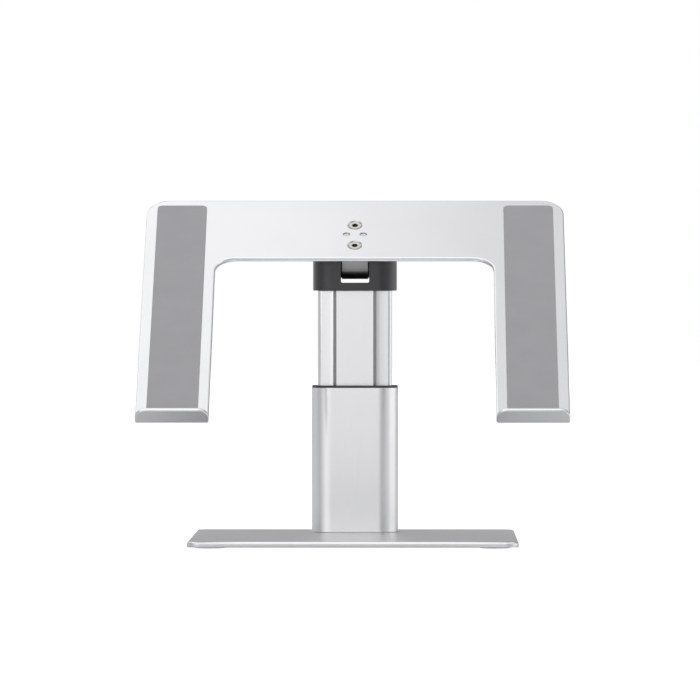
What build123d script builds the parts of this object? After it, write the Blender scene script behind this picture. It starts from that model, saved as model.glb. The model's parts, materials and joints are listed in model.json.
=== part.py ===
from build123d import *
import os
from math import cos, radians, sin, tan

# Laptop stand in millimetres, +Z up, +X to the right, -Y towards the user.
# The origin is on the desk, under the middle of the stand's outline.

os.makedirs("parts", exist_ok=True)

# ---------------------------------------------------------------- driving dimensions

# Base plate and feet
BASE_WIDTH = 200.8
BASE_DEPTH = 200.0
BASE_THICKNESS = 3.6
BASE_CORNER = 8.0
BASE_TOP_EDGE = 1.8
BASE_BOTTOM_EDGE = 0.5
BASE_Y = 9.5
FOOT_RADIUS = 9.3
FOOT_GAP = 0.7
FOOT_RECESS = 0.6
FOOT_INSET = 14.0
FOOT_EDGE = 0.3

# Outer column
COLUMN_WIDTH = 54.0
COLUMN_DEPTH = 40.0
COLUMN_CORNER = 12.6
COLUMN_WALL = 2.4
COLUMN_HEIGHT = 90.5
COLUMN_FOOT_EDGE = 0.4
COLUMN_FORWARD = 61.0
PORT_X = 18.2
PORT_Y = 15.1
PORT_RADIUS = 2.6
PORT_SLOT_INNER_Y = 11.9

# Collar, the bush in the column's mouth
COLLAR_FLANGE = 1.35
COLLAR_INSET = 0.2
COLLAR_DEPTH = 12.0
COLLAR_CLEARANCE = 0.15
COLLAR_SCREW_X = 16.0

# Inner mast
MAST_WIDTH = 46.3
MAST_DEPTH = 24.0
MAST_CORNER = 2.7
MAST_WALL = 2.0
MAST_WEB_X = 10.4
MAST_SIDE_X = 15.0
MAST_FOOT_Z = 65.8
MAST_TOP_Z = 155.5
SHOULDER_OUTER_X = 15.7
SHOULDER_INNER_X = 13.4
SHOULDER_RISE = 0.6
PANEL_DEPTH = 3.5
GROOVE_DEPTH = 8.0
PANEL_WIDTH = 23.4
MAST_PORT_Y = 5.7
MAST_PORT_RADIUS = 3.3

# Guide shoe and brake
SHOE_FLOOR = 3.0
SHOE_HEIGHT = 19.6
SHOE_CLEARANCE = 0.15
SHOE_PORT_GAP = 0.4
SHOE_FIT = 0.05
BRAKE_WIDTH = 16.0
BRAKE_HEIGHT = 9.0
BRAKE_THICKNESS = 2.2
BRAKE_Z = 73.0
SPRING_THICKNESS = 0.4
SPRING_BOW = 1.3

# Hinge
HINGE_Z = 169.6
YOKE_WIDTH = 52.5
YOKE_DEPTH = 38.5
YOKE_CORNER = 12.0
YOKE_EDGE = 1.2
YOKE_ABOVE_AXIS = 7.2
NOTCH_WIDTH = 17.9
NOTCH_FLOOR_Z = 160.5
NOTCH_CORNER = 1.0
KNUCKLE_RADIUS = 6.8
KNUCKLE_WIDTH = 16.6
PIN_RADIUS = 3.0
PIN_CLEARANCE = 0.05
PIN_HEAD_RADIUS = 5.0
PIN_HEAD_HEIGHT = 3.0
PIN_RECESS_RADIUS = 5.6
PIN_RECESS_DEPTH = 8.5
CAP_THICKNESS = 2.5
NUT_WIDTH = 8.0
NUT_HEIGHT = 3.0
WASHER_RADIUS = 6.0
WASHER_THICKNESS = 0.55

# Tray, measured in its own plane: u runs up towards the rear, n out of the top face
TILT = 35.0
TRAY_WIDTH = 262.0
TRAY_THICKNESS = 3.0
TRAY_TOP_N = 25.2
TRAY_REAR_U = 38.8
TRAY_LENGTH = 235.1
TRAY_REAR_CORNER = 14.5
TRAY_EDGE = 1.1
LEG_WIDTH = 44.5
CROSSBAR_LENGTH = 64.0
GAP_CORNER = 13.0
LIP_HEIGHT = 7.8
LIP_INNER_BEND = 0.8
LIP_OUTER_BEND = 2.8
LIP_CORNER = 6.5
PAD_WIDTH = 31.1
PAD_THICKNESS = 1.0
PAD_REAR_MARGIN = 7.0
PAD_FRONT_MARGIN = 6.0
PAD_CORNER = 3.0
ARM_FLANGE = 4.0
ARM_FLANGE_WIDTH = 44.0
ARM_FLANGE_LENGTH = 32.0
ARM_FACE_LEAN = 18.0
TRAY_SCREW_U = 11.05
DOWEL_X = 5.25
DOWEL_U = 0.8
DOWEL_RADIUS = 2.2
DOWEL_SINK = 0.6
DOWEL_LENGTH = 6.3

# Screws: shaft radius, head radius and length
BASE_SCREW = (1.45, 3.0, 14.0)
COLLAR_SCREW = (1.2, 2.3, 5.0)
SHOE_SCREW = (1.45, 2.9, 11.0)
YOKE_SCREW = (1.95, 3.8, 15.0)
TRAY_SCREW = (2.45, 4.6, 8.0)
SCREW_SINK = 0.15
SCREW_CLEARANCE = 0.1

# ---------------------------------------------------------------- derived positions

BASE_TOP_Z = FOOT_GAP + BASE_THICKNESS
COLUMN_Y = BASE_Y + COLUMN_FORWARD
COLUMN_TOP_Z = BASE_TOP_Z + COLUMN_HEIGHT
MAST_HEIGHT = MAST_TOP_Z - MAST_FOOT_Z
SHOE_FOOT_Z = MAST_FOOT_Z - SHOE_FLOOR
YOKE_TOP_Z = HINGE_Z + YOKE_ABOVE_AXIS
CAVITY_WIDTH = COLUMN_WIDTH - 2 * COLUMN_WALL
CAVITY_DEPTH = COLUMN_DEPTH - 2 * COLUMN_WALL
CAVITY_CORNER = COLUMN_CORNER - COLUMN_WALL
TRAY_FRONT_U = TRAY_REAR_U - TRAY_LENGTH
GAP_REAR_U = TRAY_REAR_U - CROSSBAR_LENGTH
LEG_CENTRE_X = (TRAY_WIDTH - LEG_WIDTH) / 2

# ---------------------------------------------------------------- working planes


def column_plane(z):
    """Level plane at height z, centred on the column."""
    return Plane(origin=(0, COLUMN_Y, z), x_dir=(1, 0, 0), z_dir=(0, 0, 1))


def tray_plane(n):
    """Plane of the tilted tray, n above the hinge axis."""
    rise = (0, -sin(radians(TILT)), cos(radians(TILT)))
    return Plane(origin=(0, COLUMN_Y, HINGE_Z), x_dir=(1, 0, 0), z_dir=rise).offset(n)


def tray_side_plane(x):
    """Plane across the tray at x, whose own x and y are u and n."""
    run = (0, cos(radians(TILT)), sin(radians(TILT)))
    return Plane(origin=(x, COLUMN_Y, HINGE_Z), x_dir=run, z_dir=(1, 0, 0))


def hinge_plane(x):
    """Plane across the hinge axis at x, looking along +X."""
    return Plane(origin=(x, COLUMN_Y, HINGE_Z), x_dir=(0, 1, 0), z_dir=(1, 0, 0))


# ---------------------------------------------------------------- repeated shapes


def countersunk_screw(shaft_radius, head_radius, length):
    """Hex socket screw with a 90 degree head, its seat's mouth at the origin."""
    cone_foot = -SCREW_SINK - (head_radius - shaft_radius)
    with BuildPart() as screw:
        with BuildSketch(Plane.XZ):
            with BuildLine():
                Polyline(
                    (0, -SCREW_SINK),
                    (head_radius, -SCREW_SINK),
                    (shaft_radius, cone_foot),
                    (shaft_radius, -length),
                    (0, -length),
                    close=True,
                )
            make_face()
        revolve(axis=Axis.Z)
        with BuildSketch(Plane.XY):
            RegularPolygon(radius=shaft_radius * 0.62, side_count=6, major_radius=False)
        extrude(amount=-SCREW_SINK - shaft_radius, mode=Mode.SUBTRACT)
    return screw.part


def screw_seat(shaft_radius, head_radius, depth):
    """Cut the countersunk hole of one screw at the current locations."""
    CounterSinkHole(
        radius=shaft_radius + SCREW_CLEARANCE,
        counter_sink_radius=head_radius + SCREW_SINK + SCREW_CLEARANCE,
        depth=depth,
        counter_sink_angle=90,
    )


def mast_outline(grow):
    """The mast's outline with its raised shoulders, grown by a clearance."""
    half_depth = MAST_DEPTH / 2 + grow
    crest = half_depth + SHOULDER_RISE
    outer = SHOULDER_OUTER_X + grow
    inner = SHOULDER_INNER_X + grow
    with BuildSketch(Plane.XY) as outline:
        RectangleRounded(MAST_WIDTH + 2 * grow, 2 * half_depth, MAST_CORNER + grow)
        with BuildLine():
            Polyline(
                (-outer, -half_depth),
                (-inner, -crest),
                (inner, -crest),
                (outer, -half_depth),
                (outer, half_depth),
                (inner, crest),
                (-inner, crest),
                (-outer, half_depth),
                close=True,
            )
        make_face()
    return outline.sketch


def sharp_edges(part):
    """Edges where two faces meet at a marked angle."""
    chosen = ShapeList()
    for edge in part.edges():
        middle = edge.position_at(0.5)
        normals = [face.normal_at(middle) for face in part.faces() if edge in face.edges()]
        if len(normals) == 2 and normals[0].get_angle(normals[1]) > 45:
            chosen.append(edge)
    return chosen


def write_piece(piece, name):
    """Label a finished piece and write its STEP file."""
    piece.label = name
    export_step(piece, f"parts/{name}.step")


# ---------------------------------------------------------------- base

under_base = Plane(origin=(0, BASE_Y, FOOT_GAP), x_dir=(1, 0, 0), z_dir=(0, 0, -1))
under_column = Plane(origin=(0, COLUMN_Y, FOOT_GAP), x_dir=(1, 0, 0), z_dir=(0, 0, -1))
foot_span_x = BASE_WIDTH - 2 * FOOT_INSET
foot_span_y = BASE_DEPTH - 2 * FOOT_INSET

with BuildPart() as base_plate:
    with BuildSketch(Plane.XY.offset(FOOT_GAP)):
        with Locations((0, BASE_Y)):
            RectangleRounded(BASE_WIDTH, BASE_DEPTH, BASE_CORNER)
    extrude(amount=BASE_THICKNESS)
    fillet(base_plate.faces().sort_by(Axis.Z)[-1].edges(), BASE_TOP_EDGE)
    fillet(base_plate.faces().sort_by(Axis.Z)[0].edges(), BASE_BOTTOM_EDGE)
    with BuildSketch(under_base):
        with GridLocations(foot_span_x, foot_span_y, 2, 2):
            Circle(FOOT_RADIUS + SCREW_CLEARANCE)
    extrude(amount=-FOOT_RECESS, mode=Mode.SUBTRACT)
    with Locations(under_column):
        with GridLocations(2 * PORT_X, 2 * PORT_Y, 2, 2):
            screw_seat(BASE_SCREW[0], BASE_SCREW[1], BASE_THICKNESS)
write_piece(base_plate.part, "base_plate")

for side_name, side_x in (("left", -1), ("right", 1)):
    for end_name, end_y in (("front", -1), ("rear", 1)):
        foot_x = side_x * foot_span_x / 2
        foot_y = BASE_Y + end_y * foot_span_y / 2
        with BuildPart() as foot:
            with BuildSketch(Plane.XY):
                with Locations((foot_x, foot_y)):
                    Circle(FOOT_RADIUS)
            extrude(amount=FOOT_GAP + FOOT_RECESS)
            fillet(foot.faces().sort_by(Axis.Z)[0].edges(), FOOT_EDGE)
        write_piece(foot.part, f"foot_{end_name}_{side_name}")

base_screw = countersunk_screw(*BASE_SCREW)
with BuildPart(under_column) as base_screws:
    with GridLocations(2 * PORT_X, 2 * PORT_Y, 2, 2):
        add(base_screw)
write_piece(base_screws.part, "base_screws")

# ---------------------------------------------------------------- outer column

behind_column = Plane(
    origin=(0, COLUMN_Y + COLUMN_DEPTH / 2, COLUMN_TOP_Z - COLLAR_DEPTH / 2),
    x_dir=(-1, 0, 0),
    z_dir=(0, 1, 0),
)
collar_screw_spots = ((-COLLAR_SCREW_X / 2, 0), (COLLAR_SCREW_X / 2, 0))

with BuildPart() as outer_column:
    with BuildSketch(column_plane(BASE_TOP_Z)):
        RectangleRounded(COLUMN_WIDTH, COLUMN_DEPTH, COLUMN_CORNER)
        RectangleRounded(CAVITY_WIDTH, CAVITY_DEPTH, CAVITY_CORNER, mode=Mode.SUBTRACT)
        with GridLocations(2 * PORT_X, 2 * PORT_Y, 2, 2):
            Circle(PORT_RADIUS)
        with GridLocations(2 * PORT_X, 2 * PORT_Y, 2, 2):
            Circle(BASE_SCREW[0] + SCREW_CLEARANCE, mode=Mode.SUBTRACT)
    extrude(amount=COLUMN_HEIGHT)
    chamfer(outer_column.faces().sort_by(Axis.Z)[0].outer_wire().edges(), COLUMN_FOOT_EDGE)
    with Locations(behind_column):
        with Locations(*collar_screw_spots):
            screw_seat(COLLAR_SCREW[0], COLLAR_SCREW[1], COLUMN_WALL)
write_piece(outer_column.part, "outer_column")

# the bush and the shoe are both slotted where the column's screw ports run
port_slot_width = 2 * (PORT_RADIUS + SHOE_PORT_GAP)
port_slot_depth = 2 * (PORT_Y - PORT_SLOT_INNER_Y)
collar_mouth = mast_outline(COLLAR_CLEARANCE)
with BuildPart() as column_collar:
    with BuildSketch(column_plane(COLUMN_TOP_Z)):
        RectangleRounded(
            COLUMN_WIDTH - 2 * COLLAR_INSET,
            COLUMN_DEPTH - 2 * COLLAR_INSET,
            COLUMN_CORNER - COLLAR_INSET,
        )
    extrude(amount=COLLAR_FLANGE)
    with BuildSketch(column_plane(COLUMN_TOP_Z - COLLAR_DEPTH)):
        RectangleRounded(
            CAVITY_WIDTH - 2 * COLLAR_CLEARANCE,
            CAVITY_DEPTH - 2 * COLLAR_CLEARANCE,
            CAVITY_CORNER - COLLAR_CLEARANCE,
        )
        with GridLocations(2 * PORT_X, 2 * PORT_Y, 2, 2):
            Rectangle(port_slot_width, port_slot_depth, mode=Mode.SUBTRACT)
    extrude(amount=COLLAR_DEPTH)
    with BuildSketch(column_plane(COLUMN_TOP_Z - COLLAR_DEPTH)):
        add(collar_mouth)
    extrude(amount=COLLAR_DEPTH + COLLAR_FLANGE, mode=Mode.SUBTRACT)
    with Locations(behind_column.offset(-COLUMN_WALL)):
        with Locations(*collar_screw_spots):
            Hole(COLLAR_SCREW[0] + SCREW_CLEARANCE, depth=COLLAR_SCREW[2] - COLUMN_WALL + 0.3)
write_piece(column_collar.part, "column_collar")

collar_screw = countersunk_screw(*COLLAR_SCREW)
with BuildPart(behind_column) as collar_screws:
    with Locations(*collar_screw_spots):
        add(collar_screw)
write_piece(collar_screws.part, "collar_screws")

# ---------------------------------------------------------------- inner mast

crest_y = MAST_DEPTH / 2 + SHOULDER_RISE
pocket_depth = MAST_DEPTH - 2 * (MAST_WALL + PANEL_DEPTH - SHOULDER_RISE)
side_pocket_width = MAST_WIDTH / 2 - MAST_WALL - MAST_SIDE_X
side_pocket_x = MAST_SIDE_X + side_pocket_width / 2
groove_width = SHOULDER_INNER_X - PANEL_WIDTH / 2
groove_x = SHOULDER_INNER_X - groove_width / 2
groove_y = crest_y - GROOVE_DEPTH / 2
mast_port_spots = ((0, -MAST_PORT_Y), (0, MAST_PORT_Y))

mast_section = mast_outline(0)
with BuildPart() as inner_mast:
    with BuildSketch(column_plane(MAST_FOOT_Z)):
        add(mast_section)
        # front channel for the panel, and a deep groove on each side of it, front and rear
        with Locations((0, -crest_y + PANEL_DEPTH / 2)):
            Rectangle(2 * SHOULDER_INNER_X, PANEL_DEPTH, mode=Mode.SUBTRACT)
        with GridLocations(2 * groove_x, 2 * groove_y, 2, 2):
            Rectangle(groove_width, GROOVE_DEPTH, mode=Mode.SUBTRACT)
        # hollow chambers and the two screw ports between them
        RectangleRounded(2 * MAST_WEB_X, pocket_depth, 1, mode=Mode.SUBTRACT)
        with Locations((-side_pocket_x, 0), (side_pocket_x, 0)):
            RectangleRounded(side_pocket_width, MAST_DEPTH - 2 * MAST_WALL, 1, mode=Mode.SUBTRACT)
        with Locations(*mast_port_spots):
            Circle(MAST_PORT_RADIUS)
        with Locations(*mast_port_spots):
            Circle(YOKE_SCREW[0] + SCREW_CLEARANCE, mode=Mode.SUBTRACT)
    extrude(amount=MAST_HEIGHT)
write_piece(inner_mast.part, "inner_mast")

with BuildPart() as mast_front_panel:
    with BuildSketch(column_plane(MAST_FOOT_Z + SHOE_HEIGHT)):
        with Locations((0, -crest_y + PANEL_DEPTH / 2)):
            Rectangle(PANEL_WIDTH, PANEL_DEPTH)
    extrude(amount=MAST_HEIGHT - SHOE_HEIGHT)
    front_corners = mast_front_panel.edges().filter_by(Axis.Z).group_by(Axis.Y)[0]
    fillet(front_corners, 0.3)
write_piece(mast_front_panel.part, "mast_front_panel")

# ---------------------------------------------------------------- guide shoe and brake

shoe_half_depth = CAVITY_DEPTH / 2 - SHOE_CLEARANCE
brake_pocket_depth = BRAKE_THICKNESS + SPRING_BOW
under_shoe = Plane(origin=(0, COLUMN_Y, SHOE_FOOT_Z), x_dir=(1, 0, 0), z_dir=(0, 0, -1))

shoe_mouth = mast_outline(SHOE_FIT)
with BuildPart() as guide_shoe:
    with BuildSketch(column_plane(SHOE_FOOT_Z)):
        RectangleRounded(
            CAVITY_WIDTH - 2 * SHOE_CLEARANCE,
            CAVITY_DEPTH - 2 * SHOE_CLEARANCE,
            CAVITY_CORNER - SHOE_CLEARANCE,
        )
        with GridLocations(2 * PORT_X, 2 * PORT_Y, 2, 2):
            Rectangle(port_slot_width, port_slot_depth, mode=Mode.SUBTRACT)
    extrude(amount=SHOE_HEIGHT)
    with BuildSketch(column_plane(MAST_FOOT_Z)):
        add(shoe_mouth)
    extrude(amount=SHOE_HEIGHT, mode=Mode.SUBTRACT)
    with Locations((0, COLUMN_Y - shoe_half_depth, BRAKE_Z), (0, COLUMN_Y + shoe_half_depth, BRAKE_Z)):
        Box(BRAKE_WIDTH + 0.2, 2 * brake_pocket_depth, BRAKE_HEIGHT + 0.2, mode=Mode.SUBTRACT)
    with Locations(under_shoe):
        with Locations(*mast_port_spots):
            screw_seat(SHOE_SCREW[0], SHOE_SCREW[1], SHOE_FLOOR)
write_piece(guide_shoe.part, "guide_shoe")

shoe_screw = countersunk_screw(*SHOE_SCREW)
with BuildPart(under_shoe) as shoe_screws:
    with Locations(*mast_port_spots):
        add(shoe_screw)
write_piece(shoe_screws.part, "shoe_screws")

brake_face_y = CAVITY_DEPTH / 2 - 0.06
for end_name, end_y in (("front", -1), ("rear", 1)):
    with BuildPart() as brake_pad:
        with Locations((0, COLUMN_Y + end_y * (brake_face_y - BRAKE_THICKNESS / 2), BRAKE_Z)):
            Box(BRAKE_WIDTH, BRAKE_THICKNESS, BRAKE_HEIGHT)
        fillet(brake_pad.edges().filter_by(Axis.Y), 1.0)
    write_piece(brake_pad.part, f"brake_pad_{end_name}")

# Bowed leaf spring behind each pad: its middle presses the pad, its ends stand on the shoe
spring_half = BRAKE_WIDTH / 2 - 0.5
spring_out_y = brake_face_y - BRAKE_THICKNESS
spring_in_y = spring_out_y - 1.05
with BuildPart() as brake_springs:
    for end_y in (-1, 1):
        with BuildSketch(column_plane(BRAKE_Z - BRAKE_HEIGHT / 2 + 1)):
            with BuildLine():
                ThreePointArc(
                    (-spring_half, end_y * spring_in_y),
                    (0, end_y * spring_out_y),
                    (spring_half, end_y * spring_in_y),
                )
                Line(
                    (spring_half, end_y * spring_in_y),
                    (spring_half, end_y * (spring_in_y - SPRING_THICKNESS + 0.2)),
                )
                ThreePointArc(
                    (spring_half, end_y * (spring_in_y - SPRING_THICKNESS + 0.2)),
                    (0, end_y * (spring_out_y - SPRING_THICKNESS)),
                    (-spring_half, end_y * (spring_in_y - SPRING_THICKNESS + 0.2)),
                )
                Line(
                    (-spring_half, end_y * (spring_in_y - SPRING_THICKNESS + 0.2)),
                    (-spring_half, end_y * spring_in_y),
                )
            make_face()
        extrude(amount=BRAKE_HEIGHT - 2)
write_piece(brake_springs.part, "brake_springs")

# ---------------------------------------------------------------- hinge yoke

with BuildPart() as hinge_yoke:
    with BuildSketch(column_plane(MAST_TOP_Z)):
        RectangleRounded(YOKE_WIDTH, YOKE_DEPTH, YOKE_CORNER)
    extrude(amount=YOKE_TOP_Z - MAST_TOP_Z)
    fillet(hinge_yoke.faces().sort_by(Axis.Z)[-1].edges(), YOKE_EDGE)
    fillet(hinge_yoke.faces().sort_by(Axis.Z)[0].edges(), YOKE_EDGE / 2)
    with BuildSketch(Plane(origin=(0, COLUMN_Y, 0), x_dir=(1, 0, 0), z_dir=(0, -1, 0))):
        notch_height = 2 * (YOKE_TOP_Z - NOTCH_FLOOR_Z)
        with Locations((0, YOKE_TOP_Z)):
            RectangleRounded(NOTCH_WIDTH, notch_height, NOTCH_CORNER)
    extrude(amount=YOKE_DEPTH, both=True, mode=Mode.SUBTRACT)
    with BuildSketch(hinge_plane(-YOKE_WIDTH / 2)):
        Circle(PIN_RADIUS + PIN_CLEARANCE)
    extrude(amount=YOKE_WIDTH, mode=Mode.SUBTRACT)
    with BuildSketch(hinge_plane(-YOKE_WIDTH / 2)):
        Circle(PIN_RECESS_RADIUS)
    extrude(amount=PIN_RECESS_DEPTH, mode=Mode.SUBTRACT)
    with BuildSketch(hinge_plane(YOKE_WIDTH / 2)):
        Circle(PIN_RECESS_RADIUS)
    extrude(amount=-PIN_RECESS_DEPTH, mode=Mode.SUBTRACT)
    with Locations(column_plane(NOTCH_FLOOR_Z)):
        with Locations(*mast_port_spots):
            screw_seat(YOKE_SCREW[0], YOKE_SCREW[1], NOTCH_FLOOR_Z - MAST_TOP_Z)
write_piece(hinge_yoke.part, "hinge_yoke")

yoke_screw = countersunk_screw(*YOKE_SCREW)
with BuildPart(column_plane(NOTCH_FLOOR_Z)) as yoke_screws:
    with Locations(*mast_port_spots):
        add(yoke_screw)
write_piece(yoke_screws.part, "yoke_screws")

# ---------------------------------------------------------------- hinge pin and friction stack

seat_x = YOKE_WIDTH / 2 - PIN_RECESS_DEPTH
disc_spring_height = 0.8
nut_x = seat_x + 2 * disc_spring_height
pin_end_x = nut_x + NUT_HEIGHT

with BuildPart() as hinge_pin:
    with BuildSketch(hinge_plane(-seat_x - PIN_HEAD_HEIGHT)):
        Circle(PIN_HEAD_RADIUS)
    extrude(amount=PIN_HEAD_HEIGHT)
    fillet(hinge_pin.faces().sort_by(Axis.X)[0].edges(), 0.5)
    with BuildSketch(hinge_plane(-seat_x)):
        Circle(PIN_RADIUS)
    extrude(amount=seat_x + pin_end_x)
    with BuildSketch(hinge_plane(-seat_x - PIN_HEAD_HEIGHT)):
        RegularPolygon(radius=2.0, side_count=6, major_radius=False)
    extrude(amount=2.0, mode=Mode.SUBTRACT)
write_piece(hinge_pin.part, "hinge_pin")

with BuildPart() as hinge_nut:
    with BuildSketch(hinge_plane(nut_x)):
        RegularPolygon(radius=NUT_WIDTH / 2, side_count=6, major_radius=False)
        Circle(PIN_RADIUS + PIN_CLEARANCE, mode=Mode.SUBTRACT)
    extrude(amount=NUT_HEIGHT)
write_piece(hinge_nut.part, "hinge_nut")

# Two coned washers, back to back, between the yoke and the nut
with BuildPart() as disc_springs:
    for start_x, direction in ((seat_x, 1), (nut_x, -1)):
        with BuildSketch(Plane(origin=(0, COLUMN_Y, HINGE_Z), x_dir=(1, 0, 0), z_dir=(0, -1, 0))):
            with BuildLine():
                Polyline(
                    (start_x, PIN_RADIUS + 0.1),
                    (start_x + direction * 0.3, PIN_RADIUS + 0.1),
                    (start_x + direction * 0.75, PIN_HEAD_RADIUS),
                    (start_x + direction * 0.45, PIN_HEAD_RADIUS),
                    close=True,
                )
            make_face()
        revolve(axis=Axis((0, COLUMN_Y, HINGE_Z), (1, 0, 0)))
write_piece(disc_springs.part, "disc_springs")

for side_name, side_x in (("left", -1), ("right", 1)):
    with BuildPart() as friction_washer:
        with BuildSketch(hinge_plane(side_x * (NOTCH_WIDTH / 2 - 0.05))):
            Circle(WASHER_RADIUS)
            Circle(PIN_RADIUS + PIN_CLEARANCE, mode=Mode.SUBTRACT)
        extrude(amount=-side_x * WASHER_THICKNESS)
    write_piece(friction_washer.part, f"friction_washer_{side_name}")

    with BuildPart() as pin_cap:
        with BuildSketch(hinge_plane(side_x * YOKE_WIDTH / 2)):
            Circle(PIN_RECESS_RADIUS - 0.05)
        extrude(amount=-side_x * CAP_THICKNESS)
        outer_faces = pin_cap.faces().sort_by(Axis.X)
        fillet(outer_faces[0 if side_x < 0 else -1].edges(), 0.4)
    write_piece(pin_cap.part, f"pin_cap_{side_name}")

# ---------------------------------------------------------------- tilt arm

flange_top_n = TRAY_TOP_N - TRAY_THICKNESS
flange_foot_n = flange_top_n - ARM_FLANGE
tray_screw_spots = ((0, -TRAY_SCREW_U), (0, TRAY_SCREW_U))
dowel_spots = ((-DOWEL_X, DOWEL_U), (DOWEL_X, DOWEL_U))

# the tongue's front face leaves the knuckle on a tangent and leans back towards the flange
face_foot_u = -KNUCKLE_RADIUS * cos(radians(ARM_FACE_LEAN))
face_foot_n = KNUCKLE_RADIUS * sin(radians(ARM_FACE_LEAN))
face_top_u = face_foot_u + (flange_foot_n - face_foot_n) * tan(radians(ARM_FACE_LEAN))

with BuildPart() as tilt_arm:
    with BuildSketch(tray_side_plane(-KNUCKLE_WIDTH / 2)):
        Circle(KNUCKLE_RADIUS)
        with BuildLine():
            Polyline(
                (face_foot_u, face_foot_n),
                (face_top_u, flange_foot_n),
                (KNUCKLE_RADIUS, flange_foot_n),
                (KNUCKLE_RADIUS, 0),
                (0, 0),
                close=True,
            )
        make_face()
    extrude(amount=KNUCKLE_WIDTH)
    with BuildSketch(tray_plane(flange_foot_n)):
        RectangleRounded(ARM_FLANGE_WIDTH, ARM_FLANGE_LENGTH, 5)
    extrude(amount=ARM_FLANGE)
    with BuildSketch(hinge_plane(-KNUCKLE_WIDTH)):
        Circle(PIN_RADIUS + PIN_CLEARANCE)
    extrude(amount=2 * KNUCKLE_WIDTH, mode=Mode.SUBTRACT)
    with Locations(tray_plane(flange_top_n)):
        with Locations(*tray_screw_spots):
            Hole(TRAY_SCREW[0] + SCREW_CLEARANCE, depth=TRAY_SCREW[2] - TRAY_THICKNESS + 0.5)
        with Locations(*dowel_spots):
            Hole(DOWEL_RADIUS + 0.02, depth=DOWEL_LENGTH + DOWEL_SINK - TRAY_THICKNESS)
write_piece(tilt_arm.part, "tilt_arm")

with BuildPart(tray_plane(TRAY_TOP_N - DOWEL_SINK)) as arm_dowels:
    with Locations(*dowel_spots):
        Cylinder(DOWEL_RADIUS, DOWEL_LENGTH, align=(Align.CENTER, Align.CENTER, Align.MAX))
write_piece(arm_dowels.part, "arm_dowels")

# ---------------------------------------------------------------- tray

gap_width = TRAY_WIDTH - 2 * LEG_WIDTH
lip_inner_u = TRAY_FRONT_U + TRAY_THICKNESS
lip_top_n = TRAY_TOP_N + LIP_HEIGHT
tray_foot_n = TRAY_TOP_N - TRAY_THICKNESS
bend_end_u = lip_inner_u + LIP_INNER_BEND
gap_length = GAP_REAR_U - bend_end_u + GAP_CORNER * 2

with BuildPart() as tray_plate:
    # the flat sheet, with its rear corners rounded and the gap cut between the legs
    with BuildSketch(tray_plane(tray_foot_n)):
        with BuildLine():
            FilletPolyline(
                (-TRAY_WIDTH / 2, bend_end_u),
                (-TRAY_WIDTH / 2, TRAY_REAR_U),
                (TRAY_WIDTH / 2, TRAY_REAR_U),
                (TRAY_WIDTH / 2, bend_end_u),
                radius=TRAY_REAR_CORNER,
            )
            Line((TRAY_WIDTH / 2, bend_end_u), (-TRAY_WIDTH / 2, bend_end_u))
        make_face()
        with Locations((0, GAP_REAR_U - gap_length / 2)):
            RectangleRounded(gap_width, gap_length, GAP_CORNER, mode=Mode.SUBTRACT)
    extrude(amount=TRAY_THICKNESS)
    # the leg ends bend up into lips
    for leg_x in (-LEG_CENTRE_X, LEG_CENTRE_X):
        with BuildSketch(tray_side_plane(leg_x)):
            with BuildLine():
                Line((bend_end_u, TRAY_TOP_N), (bend_end_u, tray_foot_n))
                Line((bend_end_u, tray_foot_n), (TRAY_FRONT_U + LIP_OUTER_BEND, tray_foot_n))
                RadiusArc(
                    (TRAY_FRONT_U + LIP_OUTER_BEND, tray_foot_n),
                    (TRAY_FRONT_U, tray_foot_n + LIP_OUTER_BEND),
                    LIP_OUTER_BEND,
                )
                Line((TRAY_FRONT_U, tray_foot_n + LIP_OUTER_BEND), (TRAY_FRONT_U, lip_top_n))
                Line((TRAY_FRONT_U, lip_top_n), (lip_inner_u, lip_top_n))
                Line((lip_inner_u, lip_top_n), (lip_inner_u, TRAY_TOP_N + LIP_INNER_BEND))
                RadiusArc(
                    (lip_inner_u, TRAY_TOP_N + LIP_INNER_BEND),
                    (bend_end_u, TRAY_TOP_N),
                    -LIP_INNER_BEND,
                )
            make_face()
        extrude(amount=LEG_WIDTH / 2, both=True)
    # round the lips' upper corners, then every long edge
    run = Axis((0, 0, 0), (0, cos(radians(TILT)), sin(radians(TILT))))
    lip_corners = tray_plate.edges().filter_by(run).filter_by(
        lambda edge: edge.length < TRAY_THICKNESS + 0.1
    )
    fillet(lip_corners, LIP_CORNER)
    fillet(sharp_edges(tray_plate.part), TRAY_EDGE)
    with Locations(tray_plane(TRAY_TOP_N)):
        with Locations(*tray_screw_spots):
            screw_seat(TRAY_SCREW[0], TRAY_SCREW[1], TRAY_THICKNESS)
        with Locations(*dowel_spots):
            Hole(DOWEL_RADIUS + 0.1, depth=TRAY_THICKNESS)
write_piece(tray_plate.part, "tray_plate")

tray_screw = countersunk_screw(*TRAY_SCREW)
with BuildPart(tray_plane(TRAY_TOP_N)) as tray_screws:
    with Locations(*tray_screw_spots):
        add(tray_screw)
write_piece(tray_screws.part, "tray_screws")

# ---------------------------------------------------------------- grip pads

pad_rear_u = TRAY_REAR_U - PAD_REAR_MARGIN
pad_front_u = TRAY_FRONT_U + PAD_FRONT_MARGIN
pad_length = pad_rear_u - pad_front_u
pad_centre_u = (pad_rear_u + pad_front_u) / 2

for side_name, side_x in (("left", -1), ("right", 1)):
    with BuildPart() as grip_pad:
        with BuildSketch(tray_plane(TRAY_TOP_N)):
            with Locations((side_x * LEG_CENTRE_X, pad_centre_u)):
                RectangleRounded(PAD_WIDTH, pad_length, PAD_CORNER)
        extrude(amount=PAD_THICKNESS)
        fillet(sharp_edges(grip_pad.part).filter_by(lambda edge: edge.length > PAD_THICKNESS), 0.3)
    write_piece(grip_pad.part, f"{side_name}_pad")
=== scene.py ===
import json
from math import cos, pi, radians, sin

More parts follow.
